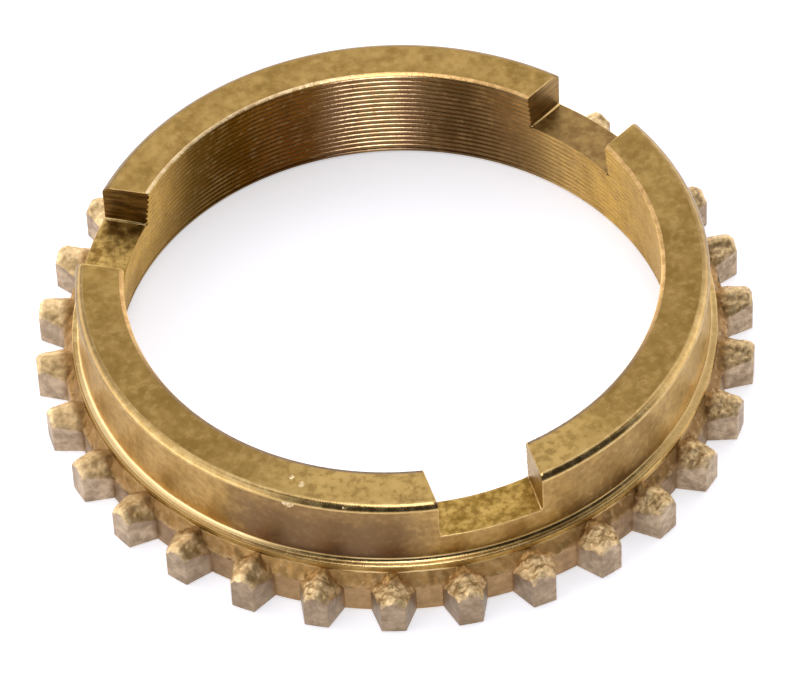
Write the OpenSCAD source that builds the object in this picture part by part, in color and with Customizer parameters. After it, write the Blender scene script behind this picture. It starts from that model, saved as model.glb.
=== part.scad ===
// Synchronizer ring: a brass ring with a friction cone in its bore, a row of
// pointed dog teeth round its foot and key slots across its upper face.
// The tooth side lies on z = 0 and one key slot faces -Y.

/* [Ring] */
// Radial thickness from the cone's wide end out to the plain wall
wall_t = 3.6; // [2.6:0.1:6]
// Height from the tooth side to the slotted face
ring_h = 13.5; // [12:0.1:18]
// Chamfer on the outer edge of the slotted face
rim_chamfer = 0.55; // [0.2:0.05:0.9]

/* [Friction cone] */
// Bore diameter at the wide end, on the tooth side
cone_d = 58.8; // [48:0.1:80]
// Angle between the cone's wall and its axis
cone_angle = 6.5; // [5:0.1:8]
// Chamfer at the narrow end of the cone
cone_top_chamfer = 0.65; // [0.2:0.05:1]
// Chamfer at the wide end of the cone
cone_foot_chamfer = 0.3; // [0.1:0.05:0.6]

/* [Collar] */
// Radial step from the plain wall out to the collar
collar_step = 0.85; // [0.7:0.05:1.2]
// Height of the collar's ledge above the tooth side
collar_top = 5.55; // [5.2:0.05:6.5]
// Height of the collar's upright band
collar_band = 0.8; // [0.3:0.05:1.1]
// Radius of the hollow between the ledge and the plain wall
wall_fillet = 0.5; // [0.2:0.05:0.65]

/* [Teeth] */
// Number of teeth
tooth_count = 30; // [24:3:36]
// Radial step from the plain wall out to the tooth root
root_step = 1.9; // [1.4:0.05:2.4]
// Height of the upright root band between the teeth
root_h = 3.3; // [2.5:0.05:3.8]
// Radial depth of a tooth
tooth_depth = 2.85; // [2:0.05:3.5]
// Width of a tooth at its tip
tip_w = 2.5; // [2:0.05:3]
// Angle of each flank to the tooth's centre line
flank_angle = 20; // [14:0.5:26]
// Height of a tooth's ridge above the tooth side
ridge_h = 4.9; // [4.4:0.05:5.3]
// Fall of each roof face away from the ridge, measured from level
roof_angle = 36; // [25:1:45]

/* [Key slots] */
// Number of key slots
slot_count = 3; // [2:1:4]
// Width of a key slot
slot_w = 10.9; // [8:0.1:13]
// Depth of a key slot below the slotted face
slot_depth = 4.75; // [3:0.05:5.5]

/* [Hidden] */
$fn = 96;
// Overshoot of a cutting shape past the face it cuts
over = 1;
// Depth to which a tooth is rooted inside the collar
tooth_seat = 0.3;
wall_r = cone_d / 2 + wall_t;
collar_r = wall_r + collar_step;
root_r = wall_r + root_step;
tip_r = root_r + tooth_depth;
tooth_in = collar_r - tooth_seat;
tooth_out = tip_r + over;
slot_floor = ring_h - slot_depth;
brass = [0.70, 0.55, 0.29];

// Radius of the friction cone at height z
function cone_r(z) = cone_d / 2 - z * tan(cone_angle);

// Half the width of a tooth at distance r from the ring's axis
function tooth_half_w(r) = tip_w / 2 + (tip_r - r) * tan(flank_angle);

// Height of a tooth's roof at distance s to one side of its ridge
function roof_z(s) = ridge_h - s * tan(roof_angle);

// Half section of the ring without teeth, x is the radius and y the height
module ring_section() {
    cone_top = ring_h - cone_top_chamfer;
    polygon([
        [cone_r(cone_foot_chamfer) + cone_foot_chamfer, 0],
        [root_r, 0],
        [root_r, root_h],
        [collar_r, collar_top - collar_band],
        [collar_r, collar_top],
        [wall_r, collar_top],
        [wall_r, ring_h - rim_chamfer],
        [wall_r - rim_chamfer, ring_h],
        [cone_r(cone_top) + cone_top_chamfer, ring_h],
        [cone_r(cone_top), cone_top],
        [cone_r(cone_foot_chamfer), cone_foot_chamfer]
    ]);
    // Hollow fillet in the corner above the collar's ledge
    translate([wall_r, collar_top])
        difference() {
            translate([-wall_fillet, -wall_fillet]) square(2 * wall_fillet);
            translate([wall_fillet, wall_fillet]) circle(r = wall_fillet);
        }
}

// One tooth on the +X side: tapered in plan, with a ridged roof
module tooth() {
    foot_w = tooth_half_w(tooth_in);
    intersection() {
        linear_extrude(ridge_h)
            polygon([
                [tooth_in, -foot_w],
                [tooth_out, -tooth_half_w(tooth_out)],
                [tooth_out, tooth_half_w(tooth_out)],
                [tooth_in, foot_w]
            ]);
        translate([tooth_in, 0, 0])
            rotate([90, 0, 90])
                linear_extrude(tooth_out - tooth_in)
                    polygon([
                        [-foot_w, 0],
                        [foot_w, 0],
                        [foot_w, roof_z(foot_w)],
                        [0, ridge_h],
                        [-foot_w, roof_z(foot_w)]
                    ]);
        cylinder(r = tip_r, h = ridge_h);
    }
}

// All teeth, with each slot's centre line over a gap when the counts allow
module teeth() {
    pitch = 360 / tooth_count;
    for (i = [0 : tooth_count - 1])
        rotate((i + 0.5) * pitch - 90) tooth();
}

// Cutters for the key slots, the first on the -Y side
module key_slots() {
    slot_in = cone_r(ring_h) / 2;
    for (i = [0 : slot_count - 1])
        rotate(i * 360 / slot_count)
            translate([-slot_w / 2, -wall_r - over, slot_floor])
                cube([slot_w, wall_r + over - slot_in, slot_depth + over]);
}

module synchronizer_ring() {
    color(brass)
        difference() {
            union() {
                rotate_extrude() ring_section();
                teeth();
            }
            key_slots();
        }
}

synchronizer_ring();
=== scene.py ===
# %% [markdown]
# # A brass synchronizer ring
# This ring sits between a gear and the sliding sleeve of a gearbox. Its tapered bore grips
# the gear's cone until both turn at one speed, and its pointed teeth then let the sleeve pass.
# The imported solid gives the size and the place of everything. It is plain, with sharp edges
# and a smooth bore, so this lesson models the same ring again with the turned thread, the
# eased edges, the torn tooth roofs and the small knocks that a used ring shows.

# %% Load the frame
import math

import bpy
from mathutils import Matrix, Vector


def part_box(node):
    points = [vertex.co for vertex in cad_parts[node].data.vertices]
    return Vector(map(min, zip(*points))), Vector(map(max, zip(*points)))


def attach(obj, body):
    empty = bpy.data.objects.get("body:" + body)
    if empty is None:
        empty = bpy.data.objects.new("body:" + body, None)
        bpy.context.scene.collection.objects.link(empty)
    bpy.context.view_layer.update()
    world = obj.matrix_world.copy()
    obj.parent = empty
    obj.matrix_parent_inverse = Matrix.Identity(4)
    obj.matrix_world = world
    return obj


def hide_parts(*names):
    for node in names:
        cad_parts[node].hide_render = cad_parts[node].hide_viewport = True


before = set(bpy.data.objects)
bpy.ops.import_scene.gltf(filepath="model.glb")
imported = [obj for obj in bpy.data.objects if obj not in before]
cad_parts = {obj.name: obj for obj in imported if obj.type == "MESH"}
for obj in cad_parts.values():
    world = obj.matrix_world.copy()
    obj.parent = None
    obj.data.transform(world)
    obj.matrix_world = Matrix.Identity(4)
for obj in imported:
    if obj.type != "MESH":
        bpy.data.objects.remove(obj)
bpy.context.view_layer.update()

# %% [markdown]
# ## Sizes
# Blender works in metres here, and a machinist in millimetres, so every size is written as
# a number of MM. The overall size is read from the imported solid, and the rest are given
# below.

# %% Sizes of the ring
MM = 0.001
low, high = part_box("synchronizer_ring")
TIP_R = (high[0] - low[0]) / 2
RING_H = high[2] - low[2]
CONE_R = 29.4 * MM
CONE_ANGLE = math.radians(6.5)
WALL_R = CONE_R + 3.6 * MM
COLLAR_R = WALL_R + 0.85 * MM
ROOT_R = WALL_R + 1.9 * MM
RIM_CHAMFER = 0.55 * MM
CONE_TOP_CHAMFER = 0.16 * MM
CONE_TOP_LAND = 0.48 * MM
CONE_FOOT_CHAMFER = 0.3 * MM
COLLAR_TOP = 5.55 * MM
COLLAR_BAND = 0.8 * MM
WALL_FILLET = 0.5 * MM
ROOT_H = 3.3 * MM


def cone_r(z):
    """Radius of the friction cone at height z."""
    return CONE_R - z * math.tan(CONE_ANGLE)


print("tip radius", TIP_R, "height", RING_H, "narrow end", cone_r(RING_H))

# %% [markdown]
# ## Shader expressions
# Every finish below is a sum of noises and masks. Wiring those by hand takes a page of nodes,
# so one small class wraps a socket: a plus or a times in Python adds the Math node for it,
# and its node method adds any other node with its settings and its sockets.

# %% A wire that can be used in sums
class Wire:
    """One output socket of a node tree, for use in Python expressions."""

    def __init__(self, tree, socket=None):
        self.tree = tree
        self.socket = socket

    def node(self, kind, settings, sockets, output=0):
        """Adds a node of any type and gives the wire from one of its outputs."""
        made = self.tree.nodes.new(kind)
        for name, setting in settings.items():
            setattr(made, name, setting)
        for name, value in sockets.items():
            if isinstance(value, Wire):
                self.tree.links.new(value.socket, made.inputs[name])
            else:
                made.inputs[name].default_value = value
        return Wire(self.tree, made.outputs[output] if made.outputs else None)

    def math(self, operation, first, second):
        """One Math node on two values or wires."""
        return self.node("ShaderNodeMath", {"operation": operation}, {0: first, 1: second})

    def __add__(self, other):
        return self.math("ADD", self, other)

    __radd__ = __add__

    def __sub__(self, other):
        return self.math("SUBTRACT", self, other)

    def __rsub__(self, other):
        return self.math("SUBTRACT", other, self)

    def __mul__(self, other):
        return self.math("MULTIPLY", self, other)

    __rmul__ = __mul__

    def __pow__(self, other):
        return self.math("POWER", self, other)

    def step(self, start, end):
        """A soft step from 0 at start to 1 at end."""
        settings = {"interpolation_type": "SMOOTHSTEP"}
        return self.node(
            "ShaderNodeMapRange", settings, {"Value": self, "From Min": start, "From Max": end}
        )

    def blend(self, first, second):
        """A colour that goes from first to second as this wire goes from 0 to 1."""
        settings = {"data_type": "RGBA"}
        return self.node("ShaderNodeMix", settings, {0: self, 6: first, 7: second}, 2)


print("wire class ready")

# %% [markdown]
# ## Brass finishes
# The ring is one piece, and still no two of its surfaces shine alike. The wall was turned,
# the upper face lapped, the slots milled, the cone threaded and then burnished by the gear,
# and the teeth are rough. All of them are the same metal, so a few helpers are shared: one
# gives cloud noise at a size in millimetres, one opens a finish, and one closes it as a metal
# with a fine bump. Each finish in between has its own tones, gloss and grain.

# %% The common brass
PER_MM = 1000
WHITE = (1.0, 1.0, 1.0, 1.0)


def colour(red, green, blue):
    """A linear colour with full alpha."""
    return (red, green, blue, 1.0)


def noise(start, place, per_mm, detail, roughness=0.6):
    """Cloud noise from 0 to 1 with the given number of lumps in a millimetre."""
    sockets = {"Vector": place, "Scale": per_mm * PER_MM, "Detail": detail, "Roughness": roughness}
    return start.node("ShaderNodeTexNoise", {}, sockets)


def new_finish(name):
    """An empty material, a wire to add nodes with, and the place on the ring."""
    material = bpy.data.materials.new(name)
    material.use_nodes = True
    material.node_tree.nodes.clear()
    start = Wire(material.node_tree)
    place = start.node("ShaderNodeTexCoord", {}, {}, "Object")
    return material, start, place


def close_finish(start, tone, roughness, height, depth, edge=WHITE):
    """The metal surface with a bump of the given depth and a tint at grazing angles."""
    bump = start.node("ShaderNodeBump", {}, {"Strength": 1.0, "Distance": depth, "Height": height})
    sockets = {"Base Color": tone, "Roughness": roughness, "Metallic": 1.0, "Normal": bump}
    sockets["Specular Tint"] = edge
    surface = start.node("ShaderNodeBsdfPrincipled", {}, sockets)
    start.node("ShaderNodeOutputMaterial", {}, {"Surface": surface})


print("common brass ready")

# %% [markdown]
# ### Masks by place
# Stains on a used ring have a place, and so do the highlights and shade painted into these
# finishes.
# A texture could be painted for them, but the ring is round, so an angle about its axis, a
# distance from the axis and a height say the same with three short helpers.


# %% Masks by place
def vector_math(start, operation, first, second=(0, 0, 0), output=0):
    """One Vector Math node."""
    settings = {"operation": operation}
    return start.node("ShaderNodeVectorMath", settings, {0: first, 1: second}, output)


def height_of(start, vector):
    """The upright part of a place or of a normal."""
    return start.node("ShaderNodeSeparateXYZ", {}, {"Vector": vector}, "Z")


def flat_of(start, place):
    """A place pressed down to the tooth side."""
    return vector_math(start, "MULTIPLY", place, (1, 1, 0))


def sector(start, place, middle, full, none, ragged=0.0):
    """1 within full degrees of the middle angle about the axis, soft to 0 at none degrees."""
    turn = math.radians(middle)
    aim = (math.cos(turn), math.sin(turn), 0)
    unit = vector_math(start, "NORMALIZE", flat_of(start, place))
    cosine = vector_math(start, "DOT_PRODUCT", unit, aim, "Value")
    return (cosine + ragged).step(math.cos(math.radians(none)), math.cos(math.radians(full)))


def radius(start, place):
    """Distance of a place from the ring's axis."""
    return vector_math(start, "LENGTH", flat_of(start, place), output="Value")


print("masks ready")

# %% [markdown]
# ### Turned wall
# The plain wall and the collar were turned and then handled. They are golden at the sides,
# lighter on the right, and lighter still low on the right. A brown stain runs down the front,
# with painted shade in it, and a dark patch lies further right. The foot at the front and the
# collar at the left carry painted shade, and the collar at the right a painted highlight. A
# plain brass would look new, so each of these marks is a mask that blends one more tone over
# the clouds.

# %% Turned wall
WALL_EDGE = colour(0.98, 0.94, 0.84)


def make_turned_wall():
    material, start, place = new_finish("turned_wall")
    clouds = noise(start, place, 0.4, 5).step(0.35, 0.65)
    grain = noise(start, place, 1.5, 3, 0.5)
    ragged = noise(start, place, 0.35, 5) - 0.5
    height = height_of(start, place) + 4 * MM * ragged
    # A brown tarnish stain at the front, with painted shade in it
    stain_and_painted_shade = sector(start, place, -120, 12, 22, 0.08 * ragged)
    stain_and_painted_shade = stain_and_painted_shade * (1 - 0.25 * height.step(10.2 * MM, 12.2 * MM))
    # A dark patch at -65 degrees, deeper where the painted shade of the foot lies
    dark_patch = sector(start, place, -65, 5, 15, 0.10 * ragged)
    # Painted shade on the lower wall at the front
    painted_foot_shade = height.step(9.0 * MM, 5.6 * MM) * sector(start, place, -100, 40, 58)
    collar = radius(start, place).step(33.4 * MM, 33.6 * MM)
    # A lighter tone on the right
    lighter_right = sector(start, place, -25, 24, 43)
    tone = clouds.blend(colour(0.43, 0.265, 0.085), colour(0.51, 0.325, 0.115))
    tone = (lighter_right * 0.8).blend(tone, colour(0.53, 0.355, 0.125))
    tone = (painted_foot_shade * 0.75).blend(tone, colour(0.33, 0.168, 0.024))
    tone = (dark_patch * (0.35 + 0.45 * painted_foot_shade)).blend(tone, colour(0.17, 0.095, 0.035))
    tone = (stain_and_painted_shade * (0.87 + 0.10 * painted_foot_shade)).blend(tone, colour(0.175, 0.10, 0.052))
    tone = (collar * 0.7).blend(tone, colour(0.52, 0.325, 0.085))
    # A lighter tone low on the right
    lighter_low_right = height.step(9.0 * MM, 7.0 * MM) * sector(start, place, -33, 10, 20)
    tone = (lighter_low_right * 0.6).blend(tone, colour(0.85, 0.58, 0.20))
    lit = collar * sector(start, place, -44, 12, 24)
    tone = (lit * 0.8).blend(tone, colour(0.95, 0.66, 0.24))
    shade = collar * sector(start, place, -158, 10, 25)
    tone = (shade * 0.6).blend(tone, colour(0.28, 0.155, 0.035))
    tone = (grain.step(0.48, 0.66) * 0.3).blend(tone, colour(0.20, 0.115, 0.045))
    bright = grain.step(0.48, 0.32) * (0.25 - 0.18 * stain_and_painted_shade)
    tone = bright.blend(tone, colour(0.66, 0.46, 0.20))
    roughness = 0.36 + 0.10 * clouds + 0.06 * grain + 0.12 * collar
    close_finish(start, tone, roughness, grain, 0.015 * MM, WALL_EDGE)
    return material


turned_wall = make_turned_wall()
print("made", turned_wall.name)

# %% [markdown]
# ### Lapped upper face
# The face on top was rubbed flat on a lapping plate. It has no turning marks, only patches of
# olive tarnish with a fine speckle, and it is lighter at the front.


# %% Lapped upper face
def make_lapped_face():
    material, start, place = new_finish("lapped_face")
    patches = noise(start, place, 0.22, 4).step(0.36, 0.64)
    clouds = noise(start, place, 0.55, 4, 0.6).step(0.36, 0.66)
    grain = noise(start, place, 1.3, 3, 0.5)
    # A lighter tone at the front
    lighter_front = sector(start, place, -98, 20, 42)
    dull = sector(start, place, -158, 20, 42) + sector(start, place, -36, 16, 36)
    dull = dull + 0.5 * sector(start, place, 5, 10, 25)
    tone = clouds.blend(colour(0.28, 0.165, 0.041), colour(0.40, 0.255, 0.078))
    tone = (patches * 0.5).blend(tone, colour(0.47, 0.305, 0.10))
    tone = (dull * 0.5).blend(tone, colour(0.20, 0.12, 0.03))
    tone = (lighter_front * 0.45).blend(tone, colour(0.60, 0.41, 0.15))
    depth = 0.28 + 0.22 * lighter_front
    tone = (grain.step(0.48, 0.66) * depth).blend(tone, colour(0.19, 0.108, 0.026))
    tone = (grain.step(0.50, 0.32) * depth).blend(tone, colour(0.52, 0.355, 0.135))
    roughness = 0.36 + 0.10 * clouds
    close_finish(start, tone, roughness, grain, 0.018 * MM)
    return material


lapped_face = make_lapped_face()
print("made", lapped_face.name)

# %% [markdown]
# ### Milled slots
# A milling cutter leaves level scratches on the upright walls of a slot and a mottled bed.
# Walls and bed share one finish, and the normal tells them apart. The scratches are noise
# that is stretched sideways by a Mapping node.


# %% Milled slots
def make_milled_slot():
    material, start, place = new_finish("milled_slot")
    facing = start.node("ShaderNodeNewGeometry", {}, {}, "Normal")
    level = height_of(start, facing).step(0.4, 0.8)
    clouds = noise(start, place, 0.7, 4, 0.6).step(0.36, 0.64)
    grain = noise(start, place, 1.5, 3, 0.55)
    stretch = start.node("ShaderNodeMapping", {}, {"Vector": place, "Scale": (0.12, 0.12, 1.0)})
    marks = noise(start, stretch, 2.0, 3)
    front = sector(start, place, -90, 30, 60)
    dull = sector(start, place, 30, 15, 40)
    upright = marks.step(0.40, 0.60).blend(colour(0.15, 0.085, 0.022), colour(0.33, 0.20, 0.06))
    upright = (front * 0.8).blend(upright, colour(0.50, 0.335, 0.12))
    upright = (dull * 0.4).blend(upright, colour(0.42, 0.27, 0.09))
    bed = clouds.blend(colour(0.275, 0.155, 0.036), colour(0.63, 0.415, 0.13))
    bed = (dull * 0.7).blend(bed, colour(0.23, 0.135, 0.055))
    bed = (front * 0.4).blend(bed, colour(0.32, 0.185, 0.022))
    tone = level.blend(upright, bed)
    dark = grain.step(0.48, 0.64) * (0.5 - 0.35 * dull)
    tone = dark.blend(tone, colour(0.16, 0.09, 0.022))
    bright = grain.step(0.50, 0.34) * (0.35 - 0.25 * dull) * level
    tone = bright.blend(tone, colour(0.66, 0.46, 0.16))
    roughness = 0.32 + 0.10 * clouds
    close_finish(start, tone, roughness, marks + 0.4 * grain, 0.04 * MM)
    return material


milled_slot = make_milled_slot()
print("made", milled_slot.name)

# %% [markdown]
# ### Threaded cone
# The gear's cone has burnished the crests of the thread and baked oil on them, while the
# grooves stayed bright. Crests and grooves are separate faces, so each has its own finish.
# The two are close in tone except in the streak at the back, where the light draws the thread
# and a painted highlight colour lies over it.
# The narrow end of the cone has a chamfer, the lip, with its own finish: a painted highlight
# where it is lit, paler at the back left, and painted shade at the front.

# %% Threaded cone
BACK_ANGLE = 84
STREAK_ANGLE = BACK_ANGLE - 7
CONE_EDGE = colour(0.92, 0.83, 0.70)
CREST_EDGE = colour(0.88, 0.74, 0.52)


def blotches(start, place):
    """Lumps of old oil that lie across grooves and crests alike."""
    return noise(start, place, 0.8, 3).step(0.52, 0.64)


def left_shade(start, place):
    """Painted shade in the lower part of the cone on its left side."""
    low_part = height_of(start, place).step(6.5 * MM, 2.5 * MM)
    return low_part * sector(start, place, 135, 14, 32) * 0.5


def make_threaded_cone():
    material, start, place = new_finish("threaded_cone")
    clouds = noise(start, place, 0.5, 5).step(0.36, 0.66)
    grain = noise(start, place, 3, 4)
    back = sector(start, place, BACK_ANGLE, 36, 54)
    streak = sector(start, place, STREAK_ANGLE, 6, 14)
    height = height_of(start, place)
    # Painted contact shadow along the foot of the cone at the back
    painted_contact_shadow = height.step(1.1 * MM, 0.4 * MM) * sector(start, place, 110, 45, 72)
    dim = sector(start, place, -5, 8, 24)
    ends = (dim * 0.4).blend(colour(0.58, 0.355, 0.09), colour(0.36, 0.24, 0.11))
    tone = back.blend(ends, colour(0.45, 0.255, 0.088))
    tone = sector(start, place, 104, 11, 20).blend(tone, colour(0.58, 0.335, 0.068))
    tone = sector(start, place, 126, 3, 9).blend(tone, colour(0.42, 0.24, 0.055))
    tone = (sector(start, place, 50, 14, 30) * 0.7).blend(tone, colour(0.40, 0.265, 0.125))
    # Painted highlight colour in the streak that the softbox draws
    tone = streak.blend(tone, colour(0.58, 0.42, 0.26))
    tone = (clouds * 0.5).blend(tone, colour(0.27, 0.15, 0.045))
    tone = (grain.step(0.54, 0.70) * 0.5).blend(tone, colour(0.19, 0.105, 0.035))
    spots = blotches(start, place) * (1 - streak)
    tone = (spots * 0.5).blend(tone, colour(0.50, 0.32, 0.14))
    tone = painted_contact_shadow.blend(tone, colour(0.08, 0.045, 0.025))
    tone = left_shade(start, place).blend(tone, colour(0.20, 0.115, 0.035))
    roughness = 0.28 - 0.16 * back + 0.05 * clouds + 0.05 * grain
    close_finish(start, tone, roughness, grain, 0.008 * MM, CONE_EDGE)
    return material


def make_glazed_crest():
    material, start, place = new_finish("glazed_crest")
    stretch = start.node("ShaderNodeMapping", {}, {"Vector": place, "Scale": (1.0, 1.0, 0.4)})
    clouds = noise(start, stretch, 0.5, 5, 0.65).step(0.40, 0.66)
    back = sector(start, place, BACK_ANGLE, 37, 51)
    streak = sector(start, place, STREAK_ANGLE, 6, 14)
    right = sector(start, place, 50, 14, 30)
    left = sector(start, place, 113, 6, 14)
    dark = left.blend(colour(0.100, 0.040, 0.012), colour(0.075, 0.028, 0.002))
    dark = right.blend(dark, colour(0.098, 0.056, 0.022))
    dim = sector(start, place, -5, 8, 24)
    ends = (dim * 0.4).blend(colour(0.60, 0.39, 0.13), colour(0.36, 0.25, 0.13))
    tone = back.blend(ends, dark)
    tone = (sector(start, place, 46, 4, 10) * 0.5).blend(tone, colour(0.20, 0.115, 0.045))
    # Painted highlight colour on the crests in the streak, brightest near 75.5 degrees
    tone = streak.blend(tone, colour(0.17, 0.09, 0.048))
    tone = (sector(start, place, 75.5, 2, 6) * 0.5).blend(tone, colour(0.42, 0.28, 0.11))
    haze = right.blend(colour(0.20, 0.105, 0.03), colour(0.24, 0.15, 0.07))
    tone = (clouds * 0.45).blend(tone, haze)
    spots = blotches(start, place) * (1 - streak)
    tone = (spots * 0.4).blend(tone, colour(0.29, 0.18, 0.075))
    tone = left_shade(start, place).blend(tone, colour(0.20, 0.115, 0.035))
    close_finish(start, tone, 0.30 + 0.08 * clouds, clouds, 0.004 * MM, CREST_EDGE)
    return material


def make_cone_lip():
    material, start, place = new_finish("cone_lip")
    clouds = noise(start, place, 0.9, 4).step(0.38, 0.66)
    # Painted highlight where the lip is lit, a paler painted highlight at the back left, and
    # painted shade at the front
    lit = sector(start, place, 75, 95, 125)
    bright = clouds.blend(colour(0.50, 0.295, 0.115), colour(0.66, 0.42, 0.18))
    pale = sector(start, place, 116, 26, 40) * (0.35 + 0.4 * clouds)
    bright = pale.blend(bright, colour(0.90, 0.72, 0.45))
    tone = lit.blend(colour(0.13, 0.08, 0.035), bright)
    close_finish(start, tone, 0.24 + 0.08 * clouds, clouds, 0.01 * MM)
    return material


threaded_cone = make_threaded_cone()
glazed_crest = make_glazed_crest()
cone_lip = make_cone_lip()
print("made", threaded_cone.name, glazed_crest.name, cone_lip.name)

# %% [markdown]
# ### Worn edges
# Rim, ledge and eased edges are rubbed bright, and the rim is duller at the back. Round the
# front the ledge carries painted highlights and painted shade, with a painted shadow on its
# outer edge at the left, so these tones are listed with their angles and blended in one loop.
# The fresh chip is the clean metal inside a dent.


# %% Worn edges
# Painted highlights and shade along the ledge. Band, middle angle, degrees to full and to no
# effect, strength, and the tone there
LEDGE_LIGHT_AND_SHADE = (
    ("ledge", -156, 20, 36, 0.60, colour(0.90, 0.68, 0.36)),
    ("outer", -160, 28, 40, 0.80, colour(0.25, 0.13, 0.03)),
    ("ledge", -124, 5, 12, 0.40, colour(0.25, 0.15, 0.05)),
    ("ledge", -105, 6, 12, 0.40, colour(0.85, 0.63, 0.32)),
    ("ledge", -84, 9, 18, 0.60, colour(0.20, 0.12, 0.04)),
    ("ledge", -42, 18, 32, 0.45, colour(0.25, 0.16, 0.06)),
)


def make_worn_edge():
    material, start, place = new_finish("worn_edge")
    clouds = noise(start, place, 0.9, 4).step(0.40, 0.66)
    grain = noise(start, place, 6, 3)
    height = height_of(start, place)
    rim = radius(start, place).step(32.0 * MM, 32.4 * MM) * height.step(12.0 * MM, 12.6 * MM)
    dull = rim * sector(start, place, 85, 95, 125)
    ledge = height.step(7.0 * MM, 6.5 * MM)
    tone = clouds.blend(colour(0.48, 0.315, 0.12), colour(0.60, 0.42, 0.18))
    # The outer edge of the ledge, where a painted shadow goes
    outer = ledge * radius(start, place).step(33.60 * MM, 33.70 * MM)
    bands = {"ledge": ledge, "outer": outer}
    for band, middle, full, none, share, shade in LEDGE_LIGHT_AND_SHADE:
        mask = bands[band] * sector(start, place, middle, full, none) * share
        tone = mask.blend(tone, shade)
    far = sector(start, place, 85, 50, 75)
    tone = (dull * (0.55 + 0.35 * far)).blend(tone, colour(0.14, 0.085, 0.035))
    tone = (grain.step(0.60, 0.74) * 0.5).blend(tone, colour(0.26, 0.15, 0.05))
    roughness = 0.20 + 0.08 * clouds
    close_finish(start, tone, roughness, grain, 0.01 * MM)
    return material


def make_fresh_chip():
    material, start, place = new_finish("fresh_chip")
    grain = noise(start, place, 5, 4)
    tone = grain.step(0.40, 0.60).blend(colour(0.86, 0.70, 0.44), colour(0.50, 0.35, 0.16))
    close_finish(start, tone, 0.50, grain, 0.03 * MM)
    return material


worn_edge = make_worn_edge()
fresh_chip = make_fresh_chip()
print("made", worn_edge.name, fresh_chip.name)

# %% [markdown]
# ### Rough teeth
# The teeth were cut and never finished. Their flanks are dull and greyish, the torn roofs are
# pale, partly by their own colour and partly by painted light on the faces that look up, and
# the slope between the teeth is brown. The normal tells flank from roof and the distance from
# the axis tells the slope, so that one finish serves them all.


# %% Rough teeth
def make_rough_teeth():
    material, start, place = new_finish("rough_teeth")
    facing = start.node("ShaderNodeNewGeometry", {}, {}, "Normal")
    up = height_of(start, facing).step(0.10, 0.70)
    gap = radius(start, place).step(35.5 * MM, 34.5 * MM)
    front = sector(start, place, -112, 18, 42)
    clouds = noise(start, place, 0.65, 4).step(0.36, 0.64)
    grain = noise(start, place, 1.8, 3, 0.5)
    flank = clouds.blend(colour(0.33, 0.24, 0.157), colour(0.58, 0.445, 0.305))
    flank = (front * 0.5).blend(flank, colour(0.25, 0.175, 0.11))
    # Roof tone: the torn surface's own colour, with painted light on the faces that look up
    roof = clouds.blend(colour(0.56, 0.40, 0.195), colour(0.94, 0.72, 0.42))
    slope = clouds.blend(colour(0.24, 0.12, 0.031), colour(0.43, 0.22, 0.058))
    shade = sector(start, place, -155, 20, 45) + sector(start, place, -42, 16, 30)
    slope = (shade * 0.6).blend(slope, colour(0.19, 0.093, 0.02))
    lit = sector(start, place, -105, 20, 36)
    slope = (lit * 0.5).blend(slope, colour(0.62, 0.36, 0.115))
    tone = (gap * 0.85).blend(up.blend(flank, roof), slope)
    smooth = sector(start, place, -170, 28, 55)
    rugged = sector(start, place, -15, 28, 50)
    pits = (0.30 + 0.05 * up) * (1 - 0.5 * gap) * (1 - 0.45 * smooth + 0.4 * rugged)
    tone = (grain.step(0.50, 0.66) * pits).blend(tone, colour(0.22, 0.14, 0.07))
    peaks = grain.step(0.47, 0.33) * pits * (0.4 + 0.6 * up)
    tone = peaks.blend(tone, colour(0.92, 0.74, 0.48))
    tone = (rugged * up * (1 - gap) * 0.2).blend(tone, colour(0.34, 0.24, 0.12))
    crumbs = noise(start, place, 2.8, 3).step(0.50, 0.62) * (0.14 + 0.28 * rugged * up)
    tone = (crumbs * (1 - gap)).blend(tone, colour(0.20, 0.125, 0.06))
    roughness = 0.44 + 0.08 * clouds + 0.12 * up
    close_finish(start, tone, roughness, grain * (0.4 + 0.6 * up), 0.05 * MM)
    return material


rough_teeth = make_rough_teeth()
print("made", rough_teeth.name)

# %% [markdown]
# ## The turned blank
# The real ring is turned on a lathe, so it is modelled as a lathe would cut it: half of its
# section is drawn as a chain of edges and spun once round the axis. A cylinder with holes
# cut into it would also do, but the section keeps every step, chamfer and groove in one
# list that reads like the drawing. The bore carries a fine thread that squeezes the oil out,
# and each of its turns is a flat crest followed by a groove with two slanted sides.

# %% The section of the thread
THREAD_PITCH = 0.7366 * MM
THREAD_TURNS = 18
FIRST_CREST = 13.47 * MM
GROOVE_DEPTH = 0.204 * MM
CONE_TOP = RING_H - CONE_TOP_CHAMFER
# Drop below the crest as a share of the pitch, and share of the groove's depth
GROOVE_SHAPE = [(0.00, 0.0), (0.24, 1.0), (0.30, 1.0), (0.37, 0.52), (0.46, 0.0)]


def thread_outline():
    """Points of the grooved cone from its narrow end down to its wide end."""
    points = [(cone_r(CONE_TOP), CONE_TOP)]
    for turn in range(THREAD_TURNS):
        for drop, deep in GROOVE_SHAPE:
            z = FIRST_CREST - (turn + drop) * THREAD_PITCH
            if CONE_FOOT_CHAMFER < z < CONE_TOP:
                points.append((cone_r(z) + deep * GROOVE_DEPTH, z))
    points.append((cone_r(CONE_FOOT_CHAMFER), CONE_FOOT_CHAMFER))
    return points


print("thread points", len(thread_outline()))

# %% [markdown]
# The rest of the section is a handful of corners. Where a corner is seen from close by, as on
# the rim and on the ledge, it is drawn as a short curve, because a bevel after the spin would
# have to find it again among thousands of edges.

# %% The section of the ring
FILLET_STEPS = 6
EASE_STEPS = 4
RIM_EASE = 0.30 * MM
LEDGE_EASE = 0.12 * MM
LEDGE_FALL = 0.08 * MM


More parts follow.
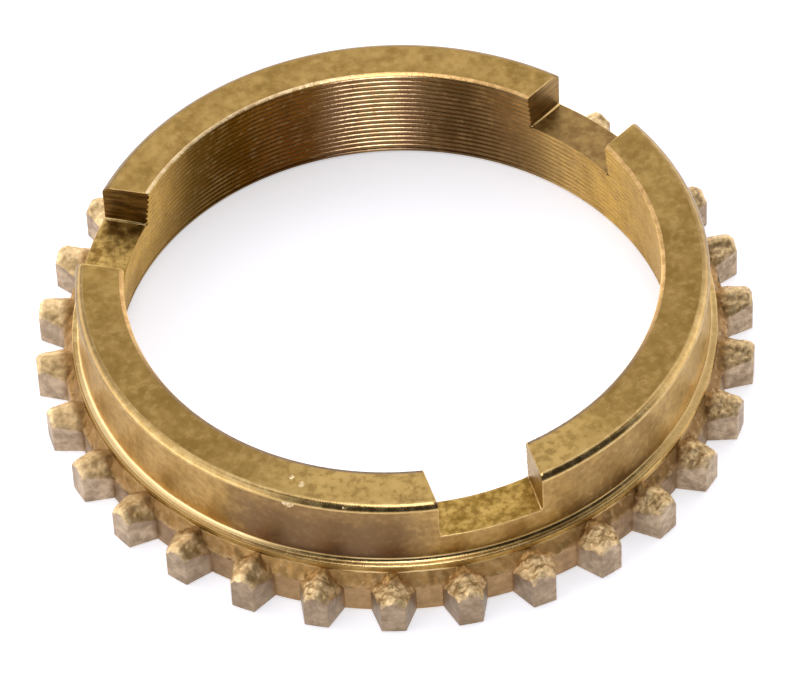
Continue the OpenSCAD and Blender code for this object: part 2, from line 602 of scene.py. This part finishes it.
def fillet_outline():
    """Hollow quarter circle from the collar's ledge up to the plain wall."""
    turns = [math.pi / 2 * step / FILLET_STEPS for step in range(FILLET_STEPS + 1)]
    return [
        (
            WALL_R + WALL_FILLET * (1 - math.sin(turn)),
            COLLAR_TOP + WALL_FILLET * (1 - math.cos(turn)),
        )
        for turn in turns
    ]


def eased(before, corner, after, reach):
    """A corner of the section as a short curve that begins and ends at the reach from it."""
    before, corner, after = Vector(before), Vector(corner), Vector(after)
    first = corner + (before - corner).normalized() * reach
    last = corner + (after - corner).normalized() * reach
    steps = [i / EASE_STEPS for i in range(EASE_STEPS + 1)]
    return [tuple(first.lerp(corner, t).lerp(corner.lerp(last, t), t)) for t in steps]


collar_foot = (COLLAR_R, COLLAR_TOP - COLLAR_BAND)
ledge_edge = (COLLAR_R, COLLAR_TOP - LEDGE_FALL)
ledge_in = (WALL_R + WALL_FILLET, COLLAR_TOP)
wall_foot = (WALL_R, COLLAR_TOP + WALL_FILLET)
rim_low = (WALL_R, RING_H - RIM_CHAMFER)
rim_high = (WALL_R - RIM_CHAMFER, RING_H)
cone_edge = (cone_r(CONE_TOP) + CONE_TOP_LAND, RING_H)
section = [
    (ROOT_R, 0),
    (ROOT_R, ROOT_H),
    collar_foot,
    *eased(collar_foot, ledge_edge, ledge_in, LEDGE_EASE),
    *fillet_outline(),
    *eased(wall_foot, rim_low, rim_high, RIM_EASE),
    *eased(rim_low, rim_high, cone_edge, RIM_EASE),
    cone_edge,
    *thread_outline(),
    (cone_r(CONE_FOOT_CHAMFER) + CONE_FOOT_CHAMFER, 0),
]
print("section points", len(section))

# %% [markdown]
# A chain of edges starts from a single vertex. Blender has no vertex primitive, so a small
# plane is merged to its centre, and that vertex is extruded from point to point.

# %% Draw and spin the section
SPIN_STEPS = 240
WELD = 1e-7


def fresh_start():
    """Nothing selected, in object mode."""
    if bpy.context.mode != "OBJECT":
        bpy.ops.object.mode_set(mode="OBJECT")
    bpy.ops.object.select_all(action="DESELECT")


fresh_start()
bpy.ops.mesh.primitive_plane_add(size=MM)
ring = bpy.context.object
ring.name = "ring"
bpy.ops.object.mode_set(mode="EDIT")
bpy.ops.mesh.merge(type="CENTER")
corners = [Vector((r, 0, z)) for r, z in section]
bpy.ops.transform.translate(value=corners[0])
for here, there in zip(corners, corners[1:] + corners[:1]):
    bpy.ops.mesh.extrude_region_move(TRANSFORM_OT_translate={"value": there - here})
bpy.ops.mesh.select_all(action="SELECT")
bpy.ops.mesh.remove_doubles(threshold=WELD)
bpy.ops.mesh.spin(steps=SPIN_STEPS, angle=2 * math.pi, center=(0, 0, 0), axis=(0, 0, 1))
bpy.ops.mesh.select_all(action="SELECT")
bpy.ops.mesh.remove_doubles(threshold=WELD)
bpy.ops.mesh.normals_make_consistent(inside=False)
bpy.ops.object.mode_set(mode="OBJECT")
print("blank faces", len(ring.data.polygons))

# %% [markdown]
# The finishes go on while the blank is still simple. Each face is sorted by its place: the
# level face on top was lapped, the faces close to the cone are thread, those below the collar
# are rough, and the rest were turned. The Boolean cuts that follow bring the finish of their
# cutter with them.

# %% Sort the finishes of the blank
THREAD_SKIN = GROOVE_DEPTH + 0.10 * MM
CREST_SKIN = 0.005 * MM
FACING_DOWN = -0.5
FACING_UP = 0.2


def on_cone(p):
    """True on the grooved cone and its two chamfers."""
    return math.hypot(p.x, p.y) < cone_r(p.z) + THREAD_SKIN


def on_lip(p):
    """True on the chamfer at the narrow end of the cone."""
    return p.z > CONE_TOP and math.hypot(p.x, p.y) < cone_edge[0]


finishes = (
    turned_wall,
    lapped_face,
    threaded_cone,
    glazed_crest,
    cone_lip,
    worn_edge,
    rough_teeth,
)
for finish in finishes:
    ring.data.materials.append(finish)
WALL, LAPPED, THREAD, CREST, LIP, WORN, ROUGH = range(len(finishes))
for face in ring.data.polygons:
    if face.center.z > RING_H - WELD:
        face.material_index = LAPPED
    elif on_lip(face.center):
        face.material_index = LIP
    elif on_cone(face.center):
        out = math.hypot(face.center.x, face.center.y) - cone_r(face.center.z)
        face.material_index = CREST if out < CREST_SKIN else THREAD
    elif face.center.z < COLLAR_TOP - COLLAR_BAND:
        face.material_index = WALL if face.normal.z < FACING_DOWN else ROUGH
    elif face.normal.z > FACING_UP:
        face.material_index = WORN
print("thread faces", sum(face.material_index == THREAD for face in ring.data.polygons))

# %% [markdown]
# ## Key slots
# Three slots are milled across the upper face for the keys of the hub. The cutter is a box
# with its two lower edges rounded as a milling cutter leaves them. It is copied twice round
# the axis and taken from the blank with a Boolean modifier, which gives true slot walls.

# %% Cut the key slots
SLOT_W = 10.9 * MM
SLOT_DEPTH = 4.75 * MM
SLOT_FLOOR = RING_H - SLOT_DEPTH
SLOT_COUNT = 3
SLOT_CORNER = 0.2 * MM
OVER = 1 * MM
slot_in = cone_r(RING_H) / 2


def clear_pick(kind):
    """Selects nothing, with edges, faces or vertices to be picked next in object mode."""
    bpy.ops.object.mode_set(mode="EDIT")
    bpy.ops.mesh.select_mode(type=kind)
    bpy.ops.mesh.select_all(action="DESELECT")
    bpy.ops.object.mode_set(mode="OBJECT")


def pick_edges(obj, chosen):
    """Selects the edges for which chosen(first end, second end) is true, in edit mode."""
    clear_pick("EDGE")
    vertices = obj.data.vertices
    for edge in obj.data.edges:
        a, b = (vertices[i].co for i in edge.vertices)
        edge.select = chosen(a, b)
    bpy.ops.object.mode_set(mode="EDIT")


def copy_round(count):
    """In edit mode, copies all of the mesh to count equal places round the axis."""
    bpy.ops.mesh.select_all(action="SELECT")
    for _ in range(count - 1):
        bpy.ops.mesh.duplicate()
        bpy.ops.transform.rotate(
            value=2 * math.pi / count, orient_axis="Z", center_override=(0, 0, 0)
        )


def take_up(obj):
    """Only this object is selected and active."""
    fresh_start()
    bpy.context.view_layer.objects.active = obj
    obj.select_set(True)


def use_boolean(target, tool, operation):
    """Applies one Boolean to target and deletes its tool."""
    take_up(target)
    change = target.modifiers.new(tool.name, "BOOLEAN")
    change.operation = operation
    change.object = tool
    change.solver = "MANIFOLD"
    change.material_mode = "TRANSFER"
    bpy.ops.object.modifier_apply(modifier=change.name)
    bpy.data.objects.remove(tool)


fresh_start()
bpy.ops.mesh.primitive_cube_add(
    size=1,
    location=(0, -(WALL_R + OVER + slot_in) / 2, SLOT_FLOOR + (SLOT_DEPTH + OVER) / 2),
    scale=(SLOT_W, WALL_R + OVER - slot_in, SLOT_DEPTH + OVER),
)
cutter = bpy.context.object
cutter.name = "slot_cutter"
cutter.data.materials.append(milled_slot)
bpy.ops.object.transform_apply()
pick_edges(
    cutter,
    lambda a, b: max(a.z, b.z) < SLOT_FLOOR + WELD and abs(a.x - b.x) < WELD,
)
bpy.ops.mesh.bevel(offset=SLOT_CORNER, segments=3, affect="EDGES")
copy_round(SLOT_COUNT)
use_boolean(ring, cutter, "DIFFERENCE")
print("slotted faces", len(ring.data.polygons))

# %% [markdown]
# ## Eased edges
# No machined edge is perfectly sharp: the rim, the collar and the slots have edges a tenth
# of a millimetre wide, and those catch the light. The sharp edges are picked by their angle,
# the thread is left out by its place, and one bevel eases all the others.

# %% Ease the machined edges
EASE = 0.11 * MM
SHARP = math.radians(28)
TOUCH = 0.01 * MM


def in_thread(p):
    """True on the cone below the lip."""
    return on_cone(p) and p.z < CONE_TOP - TOUCH


clear_pick("EDGE")
bpy.ops.object.mode_set(mode="EDIT")
bpy.ops.mesh.edges_select_sharp(sharpness=SHARP)
bpy.ops.object.mode_set(mode="OBJECT")
sharp = {edge.index for edge in ring.data.edges if edge.select}
for edge in ring.data.edges:
    a, b = (ring.data.vertices[i].co for i in edge.vertices)
    edge.select = edge.index in sharp and not (in_thread(a) or in_thread(b))
bpy.ops.object.mode_set(mode="EDIT")
bpy.ops.mesh.bevel(offset=EASE, segments=2, affect="EDGES", material=WORN)
bpy.ops.object.mode_set(mode="OBJECT")
for face in ring.data.polygons:
    if face.material_index == WORN and 0 < face.center.z - ROOT_H + EASE < 2 * EASE:
        face.material_index = ROUGH
print("eased faces", len(ring.data.polygons))

# %% [markdown]
# ## Teeth
# A tooth is narrow at its tip and has a roof of two faces, so that it can turn the sleeve's
# splines aside. It starts as a cube as long as the tooth. The tip end is pinched, a cut
# down the middle gives the ridge, and the corners of the roof are moved to their heights.

# %% Model one tooth
TOOTH_SEAT = 0.3 * MM
TIP_W = 2.5 * MM
FLANK_ANGLE = math.radians(20)
RIDGE_H = 4.9 * MM
ROOF_ANGLE = math.radians(36)
TOOTH_COUNT = 30
TOOTH_LIFT = 0.03 * MM
TOOTH_EASE = 0.08 * MM
tooth_in = COLLAR_R - TOOTH_SEAT
foot_half = TIP_W / 2 + (TIP_R - tooth_in) * math.tan(FLANK_ANGLE)
middle = (tooth_in + TIP_R) / 2


def roof_z(s):
    """Height of the roof at a distance s from the ridge."""
    return RIDGE_H - abs(s) * math.tan(ROOF_ANGLE)


def pick_vertices(obj, chosen):
    """Selects the vertices for which chosen(place) is true, in edit mode."""
    clear_pick("VERT")
    for vertex in obj.data.vertices:
        vertex.select = chosen(vertex.co)
    bpy.ops.object.mode_set(mode="EDIT")


fresh_start()
bpy.ops.mesh.primitive_cube_add(
    size=1,
    location=(middle, 0, (TOOTH_LIFT + RIDGE_H) / 2),
    scale=(TIP_R - tooth_in, 2 * foot_half, RIDGE_H - TOOTH_LIFT),
)
teeth = bpy.context.object
teeth.name = "teeth"
teeth.data.materials.append(rough_teeth)
bpy.ops.object.transform_apply()
pick_vertices(teeth, lambda p: p.x > middle)
bpy.ops.transform.resize(value=(1, TIP_W / 2 / foot_half, 1), center_override=(0, 0, 0))
tip_corner_x = math.sqrt(TIP_R**2 - (TIP_W / 2) ** 2)
bpy.ops.transform.translate(value=(tip_corner_x - TIP_R, 0, 0))
bpy.ops.mesh.select_all(action="SELECT")
bpy.ops.mesh.bisect(plane_co=(0, 0, 0), plane_no=(0, 1, 0))
pick_vertices(teeth, lambda p: p.x > middle and abs(p.y) < WELD)
bpy.ops.transform.translate(value=(TIP_R - tip_corner_x, 0, 0))
pick_vertices(teeth, lambda p: p.x > middle and abs(p.y) > WELD and p.z > RIDGE_H / 2)
bpy.ops.transform.translate(value=(0, 0, roof_z(TIP_W / 2) - RIDGE_H))
pick_vertices(teeth, lambda p: p.x < middle and abs(p.y) > WELD and p.z > RIDGE_H / 2)
bpy.ops.transform.translate(value=(0, 0, roof_z(foot_half) - RIDGE_H))
print("corners of a tooth", [tuple(round(c / MM, 2) for c in v.co) for v in teeth.data.vertices])

# %% [markdown]
# The upright edges of the tip and the edges round the foot are eased like the others. The
# two roof faces are then cut into a fine grid, because their torn surface is real relief.
# Subdivide would only split the outline of a face with more than four corners, so the grid
# is cut with rows of bisecting planes.

# %% Ease the tip and divide the roof
ROOF_GRID = 0.12 * MM


def on_roof(p):
    """True on the two roof faces of the tooth that points along X."""
    return abs(p.z - roof_z(p.y)) < TOUCH


def on_tip_edge(a, b):
    """True for the upright edges at the two corners of the tip."""
    corner = min(a.x, b.x) > middle and min(abs(a.y), abs(b.y)) > WELD
    return corner and not (on_roof(a) and on_roof(b))


def on_foot_edge(a, b):
    """True for the edges round the underside, apart from those inside the ring."""
    level = max(a.z, b.z) < TOOTH_LIFT + WELD and max(a.x, b.x) > middle
    return level and abs(a.y - b.y) < 2 * foot_half and max(abs(a.y), abs(b.y)) > WELD


def cut_roof(axis, first, last):
    """Cuts the roof faces by a row of planes across the axis, a grid step apart."""
    steps = round((last - first) / ROOF_GRID)
    for step in range(1, steps):
        clear_pick("FACE")
        for face in teeth.data.polygons:
            face.select = all(on_roof(teeth.data.vertices[i].co) for i in face.vertices)
        bpy.ops.object.mode_set(mode="EDIT")
        place = axis * (first + (last - first) * step / steps)
        bpy.ops.mesh.bisect(plane_co=place, plane_no=axis, threshold=WELD)
    bpy.ops.object.mode_set(mode="OBJECT")


pick_edges(teeth, lambda a, b: on_tip_edge(a, b) or on_foot_edge(a, b))
bpy.ops.mesh.bevel(offset=TOOTH_EASE, segments=2, affect="EDGES")
cut_roof(Vector((1, 0, 0)), tooth_in, TIP_R)
cut_roof(Vector((0, 1, 0)), -foot_half, foot_half)
print("faces of a tooth", len(teeth.data.polygons))

# %% [markdown]
# Three vertex groups say how much each point of the roof will move. The first is the torn
# surface, calmer at the ridge and at the rim. The second is the rim itself, which is chipped.
# The third is worn down: most at the tip, and a little along the ridge and the flanks.

# %% Weigh the roof
RIM_CALM, RIM_REACH = 0.65, 0.6 * MM
RIDGE_CALM, RIDGE_REACH = 0.6, 0.5 * MM
CHIP_REACH = 0.30 * MM
EDGE_WEAR, EDGE_WEAR_REACH = 0.4, 0.4 * MM
TIP_WEAR_REACH = 0.6 * MM


def near(distance, reach):
    """1 at no distance, falling to 0 at the reach."""
    return max(0.0, 1 - distance / reach)


roof = teeth.vertex_groups.new(name="roof")
edges = teeth.vertex_groups.new(name="edges")
worn = teeth.vertex_groups.new(name="worn")
for vertex in teeth.data.vertices:
    p = vertex.co
    if on_roof(p):
        half = TIP_W / 2 + (TIP_R - p.x) * math.tan(FLANK_ANGLE)
        side = half - abs(p.y)
        rim = min(side, TIP_R - p.x)
        calm = max(RIM_CALM * near(rim, RIM_REACH), RIDGE_CALM * near(abs(p.y), RIDGE_REACH))
        soft = EDGE_WEAR * near(min(abs(p.y), side), EDGE_WEAR_REACH) ** 2
        wear = min(1.0, soft + near(TIP_R - p.x, TIP_WEAR_REACH) ** 2)
        roof.add([vertex.index], 1 - calm, "REPLACE")
        edges.add([vertex.index], near(rim, CHIP_REACH), "REPLACE")
        worn.add([vertex.index], wear, "REPLACE")
print("points of the roof", sum(on_roof(v.co) for v in teeth.data.vertices))

# %% [markdown]
# One tooth becomes a row by copying it round the axis. The real roofs were cut in haste:
# they are torn and grainy, their edges are chipped, and no two are alike. Displace modifiers
# read a cloud noise by place, so every copy comes out different. The roofs on the left and on
# the right of the ring are smoother than those at the front, so their weights come down.

# %% Copy and roughen the teeth
TIP_WEAR = 0.50 * MM
# Angle of the side in degrees, how far it reaches, and the share of roughness it loses
CALM_SIDES = ((-175, 65, 0.85), (5, 65, 0.50))
# Name, size of the lumps, height, level that stays in place, and vertex group
ROOF_NOISES = (
    ("chips", 0.45 * MM, 0.50 * MM, 0.60, "edges"),
    ("tear", 0.70 * MM, 0.90 * MM, 0.50, "roof"),
    ("grain", 0.34 * MM, 0.20 * MM, 0.50, "roof"),
)


def shift_up(obj, name, strength, level, group, texture=None):
    """Moves the vertices of a group up or down, by a texture or all alike."""
    change = obj.modifiers.new(name, "DISPLACE")
    change.texture = texture
    change.texture_coords = "LOCAL"
    change.direction = "Z"
    change.mid_level = level
    change.strength = strength
    change.vertex_group = group
    bpy.ops.object.modifier_apply(modifier=change.name)


def roughen(obj, name, lump, strength, level, group):
    """Raises and lowers the surface by a cloud noise with lumps of the given size."""
    clouds = bpy.data.textures.new(name, "CLOUDS")
    clouds.noise_scale = lump
    clouds.noise_depth = 2
    shift_up(obj, name, strength, level, group, clouds)
    bpy.data.textures.remove(clouds)


bpy.ops.object.mode_set(mode="EDIT")
copy_round(TOOTH_COUNT)
bpy.ops.object.mode_set(mode="OBJECT")
for vertex in teeth.data.vertices:
    turned = math.degrees(math.atan2(vertex.co.y, vertex.co.x))
    for place, reach, share in CALM_SIDES:
        away = abs((turned - place + 180) % 360 - 180)
        for entry in vertex.groups:
            if entry.group != worn.index:
                entry.weight *= 1 - share * near(away, reach) ** 0.5
shift_up(teeth, "soften", -TIP_WEAR, 0, "worn")
for name, lump, strength, level, group in ROOF_NOISES:
    roughen(teeth, name, lump, strength, level, group)
print("faces of all teeth", len(teeth.data.polygons))

# %% [markdown]
# The slope between the teeth was left by the same rough cut. Its faces are divided into a
# finer grid and raised and lowered by the same kind of noise.

# %% Roughen the slope
SLOPE_CUTS = 3
SLOPE_MARGIN = 0.1 * MM
SLOPE_TILT_MIN, SLOPE_TILT_MAX = 0.3, 0.9
SLOPE_NOISES = (
    ("lumps", 0.90 * MM, 0.90 * MM, 0.50, "slope"),
    ("pits", 0.35 * MM, 0.25 * MM, 0.50, "slope"),
)


def on_slope(p):
    """True on the slope between the collar and the tooth roots."""
    top = COLLAR_TOP - COLLAR_BAND - SLOPE_MARGIN
    return ROOT_H - WELD < p.z < top and COLLAR_R - WELD < math.hypot(p.x, p.y)


take_up(ring)
clear_pick("FACE")
for face in ring.data.polygons:
    tilted = SLOPE_TILT_MIN < face.normal.z < SLOPE_TILT_MAX
    face.select = tilted and on_slope(face.center)
bpy.ops.object.mode_set(mode="EDIT")
bpy.ops.mesh.subdivide(number_cuts=SLOPE_CUTS)
bpy.ops.object.mode_set(mode="OBJECT")
slope = ring.vertex_groups.new(name="slope")
slope.add([v.index for v in ring.data.vertices if on_slope(v.co)], 1.0, "REPLACE")
for name, lump, strength, level, group in SLOPE_NOISES:
    roughen(ring, name, lump, strength, level, group)
print("faces with the slope divided", len(ring.data.polygons))

# %% [markdown]
# The teeth and the ring are one piece of metal. A Boolean union joins them to one closed
# mesh, and the part of each tooth that was seated inside the collar goes away with it.

# %% Join the teeth to the ring
use_boolean(ring, teeth, "UNION")
print("faces of the ring", len(ring.data.polygons))

# %% [markdown]
# ## Knocks
# A ring that has lain in a box of gears has small bright dents, most of them on its rim.
# Each is scooped out with a little rough ball. The balls are joined and taken away by one
# more Boolean, and their own finish lines the dents with clean metal.

# %% Dent the rim
# Angle in degrees, then radius, height and size of the ball in millimetres, and its stretch
KNOCKS = [
    (-164.4, 33.05, 13.40, 0.38, 1.0),
    (-170.0, 32.95, 13.45, 0.30, 1.0),
    (-116.3, 32.95, 13.40, 0.32, 1.0),
    (-126.2, 34.03, 12.75, 1.20, 1.3),
    (-124.8, 30.80, 14.57, 1.20, 0.7),
    (-127.2, 30.20, 14.00, 0.60, 0.8),
    (110.5, 33.00, 13.45, 0.45, 1.0),
    (-38.0, 33.00, 13.45, 0.28, 1.0),
    (14.0, 32.95, 13.50, 0.30, 1.0),
    (63.0, 32.98, 13.45, 0.26, 1.0),
]
balls = []
for angle, away, up, size, stretch in KNOCKS:
    fresh_start()
    turn = math.radians(angle)
    bpy.ops.mesh.primitive_ico_sphere_add(
        subdivisions=2,
        radius=size * MM,
        location=(away * MM * math.cos(turn), away * MM * math.sin(turn), up * MM),
        rotation=(0, 0, turn),
        scale=(1, stretch, 1),
    )
    ball = bpy.context.object
    ball.data.materials.append(fresh_chip)
    bpy.ops.object.transform_apply()
    balls.append(ball)
for ball in balls:
    ball.select_set(True)
bpy.ops.object.join()
use_boolean(ring, bpy.context.object, "DIFFERENCE")
print("dents", len(KNOCKS), "faces of the ring", len(ring.data.polygons))

# %% [markdown]
# ## Smooth shading
# The curved faces are shaded smooth and every edge sharper than 35 degrees stays crisp. The
# edge between the lapped face and the lip is blunter than that, and is marked sharp.
# The Weighted Normal modifier then lets the large faces lead, so that a level face next to an
# eased edge still looks level.

# %% Shade the ring
CRISP = math.radians(35)


def on_lip_edge(p):
    """True on the circle where the lapped face meets the lip of the cone."""
    return p.z > RING_H - WELD and abs(math.hypot(p.x, p.y) - cone_edge[0]) < TOUCH


take_up(ring)
pick_edges(ring, lambda a, b: on_lip_edge(a) and on_lip_edge(b))
bpy.ops.mesh.mark_sharp()
bpy.ops.object.mode_set(mode="OBJECT")
bpy.ops.object.shade_smooth_by_angle(angle=CRISP)
even = ring.modifiers.new("even", "WEIGHTED_NORMAL")
even.keep_sharp = True
bpy.ops.object.modifier_apply(modifier=even.name)
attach(ring, "root")
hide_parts("synchronizer_ring")
counts = {}
for face in ring.data.polygons:
    name = ring.data.materials[face.material_index].name
    counts[name] = counts.get(name, 0) + 1
ring.data.calc_loop_triangles()
print("triangles", len(ring.data.loop_triangles), "faces by finish", counts)

# %% [markdown]
# ## Floor
# The ring lies on white paper. The paper is a matt plane that takes the ring's soft shadow,
# and a little light of its own, seen by the camera and by the brass, brings it up to white.
# It lies a hair below the ring, because two faces in one plane would show as stripes.

# %% Paper floor
PAPER_SIZE = 4
PAPER_TONE = colour(0.80, 0.80, 0.90)
PAPER_GLOW = 0.50
PAPER_DROP = 0.02 * MM
fresh_start()
bpy.ops.mesh.primitive_plane_add(size=PAPER_SIZE, location=(0, 0, -PAPER_DROP))
floor = bpy.context.object
floor.name = "floor"
paper = bpy.data.materials.new("paper")
paper.use_nodes = True
paper.node_tree.nodes.clear()
start = Wire(paper.node_tree)
matt = start.node("ShaderNodeBsdfDiffuse", {}, {"Color": PAPER_TONE})
glow = start.node("ShaderNodeEmission", {}, {"Color": WHITE, "Strength": PAPER_GLOW})
seen = [
    start.node("ShaderNodeLightPath", {}, {}, ray)
    for ray in ("Is Camera Ray", "Is Glossy Ray", "Is Transmission Ray")
]
both = start.node("ShaderNodeAddShader", {}, {0: matt, 1: glow})
shown = start.node(
    "ShaderNodeMixShader", {}, {0: seen[0] + seen[1] + seen[2], 1: matt, 2: both}
)
start.node("ShaderNodeOutputMaterial", {}, {"Surface": shown})
floor.data.materials.append(paper)
print("floor", floor.dimensions)

# %% [markdown]
# ## Light
# Brass shows the room more than it shows itself. White screens stand low on both sides and
# behind, the upper part of the room is dimmer, and the side where the camera stands is dark,
# which draws the dark band along the front of the rim. Lamps could stand for the screens, but
# a world whose strength depends only on the direction gives soft borders and little noise.

# %% Room
# Strength of the light from each part of the room
SIDE_LOW = 2.4
SIDE_HIGH = 1.4
BACK_LOW = 2.6
BACK_HIGH = 1.0
CEILING = 1.2
FRONT_LOW = 1.1
FRONT_HIGH = 0.05
FRONT_ANGLE = math.radians(-82)
ROOM_TONE = colour(1.0, 0.99, 0.98)
# Keeps the division below safe straight overhead
TINY = 1e-6
world = bpy.data.worlds.new("room")
bpy.context.scene.world = world
world.use_nodes = True
world.node_tree.nodes.clear()
start = Wire(world.node_tree)
outward = start.node("ShaderNodeTexCoord", {}, {}, "Generated")
x, y, z = (start.node("ShaderNodeSeparateXYZ", {}, {"Vector": outward}, axis) for axis in "XYZ")
# Where a direction points: to the camera, or to either side
level = (x * x + y * y + TINY) ** 0.5
ahead = x * math.cos(FRONT_ANGLE) + y * math.sin(FRONT_ANGLE)
front = start.math("DIVIDE", ahead, level).step(0.30, 0.55)
aside = start.math("DIVIDE", (x * x) ** 0.5, level).step(0.50, 0.90)
# How bright the room is there, from low to high
behind = BACK_LOW - (BACK_LOW - BACK_HIGH) * z.step(0.30, 0.55)
sides = SIDE_HIGH + (SIDE_LOW - SIDE_HIGH - 0.5 * x) * z.step(0.45, 0.15)
gloom = (z + 0.08 * x).step(0.67, 0.87) * y.step(0.20, 0.05)
sides = sides * (1 - gloom)
camera_side = FRONT_HIGH + (FRONT_LOW - FRONT_HIGH) * z.step(0.24, 0.04)
screens = behind + aside * (sides - behind)
walls = screens + front * (camera_side - screens)
ceiling = FRONT_HIGH + (CEILING - FRONT_HIGH) * y.step(-0.15, 0.10)
strength = walls + z.step(0.80, 0.94) * (ceiling - walls)
room = start.node("ShaderNodeBackground", {}, {"Color": ROOM_TONE, "Strength": strength})
start.node("ShaderNodeOutputWorld", {}, {"Surface": room})
print("room nodes", len(world.node_tree.nodes))

# %% [markdown]
# One narrow softbox hangs above and gives the bright streak across the thread. Its power grows
# with its area, so that a change of its size changes the streak's width and not its brightness.

# %% Overhead softbox
SOFTBOX_PLACE = Vector((-0.0245, -0.150, 0.68))
SOFTBOX_W = 0.167
SOFTBOX_D = 0.42
SOFTBOX_RADIANCE = 5.4

light = bpy.data.lights.new("overhead", "AREA")
light.shape = "RECTANGLE"
light.size = SOFTBOX_W
light.size_y = SOFTBOX_D
light.energy = SOFTBOX_RADIANCE * math.pi * SOFTBOX_W * SOFTBOX_D
overhead = bpy.data.objects.new("overhead", light)
bpy.context.collection.objects.link(overhead)
overhead.location = SOFTBOX_PLACE
overhead.rotation_euler = (-SOFTBOX_PLACE).to_track_quat("-Z", "Y").to_euler()
print("softbox energy", light.energy)

# %% [markdown]
# ## Camera
# The camera stands a little to one side with a long lens, looks down at about 48 degrees and
# is held slightly tilted. It is placed from the point that it looks at, by turning, tipping
# and drawing back, in that order.

# %% Camera
CAMERA_AIM = Vector((-0.575 * MM, -3.83 * MM, 6.75 * MM))
CAMERA_DISTANCE = 597.75 * MM
CAMERA_AZIMUTH = math.radians(-15.7)
CAMERA_ELEVATION = math.radians(48.0)
CAMERA_ROLL = math.radians(-2.7)
CAMERA_LENS = 258.2
CAMERA_SENSOR = 36

eye = bpy.data.cameras.new("camera")
eye.lens = CAMERA_LENS
eye.sensor_width = CAMERA_SENSOR
camera = bpy.data.objects.new("camera", eye)
bpy.context.collection.objects.link(camera)
turn = Matrix.Rotation(CAMERA_AZIMUTH, 4, "Z")
tip = Matrix.Rotation(math.pi / 2 - CAMERA_ELEVATION, 4, "X")
back = Matrix.Translation((0, 0, CAMERA_DISTANCE))
roll = Matrix.Rotation(CAMERA_ROLL, 4, "Z")
camera.matrix_world = Matrix.Translation(CAMERA_AIM) @ turn @ tip @ back @ roll
bpy.context.scene.camera = camera
bpy.context.scene.view_settings.view_transform = "Standard"
print("camera at", camera.matrix_world.translation)
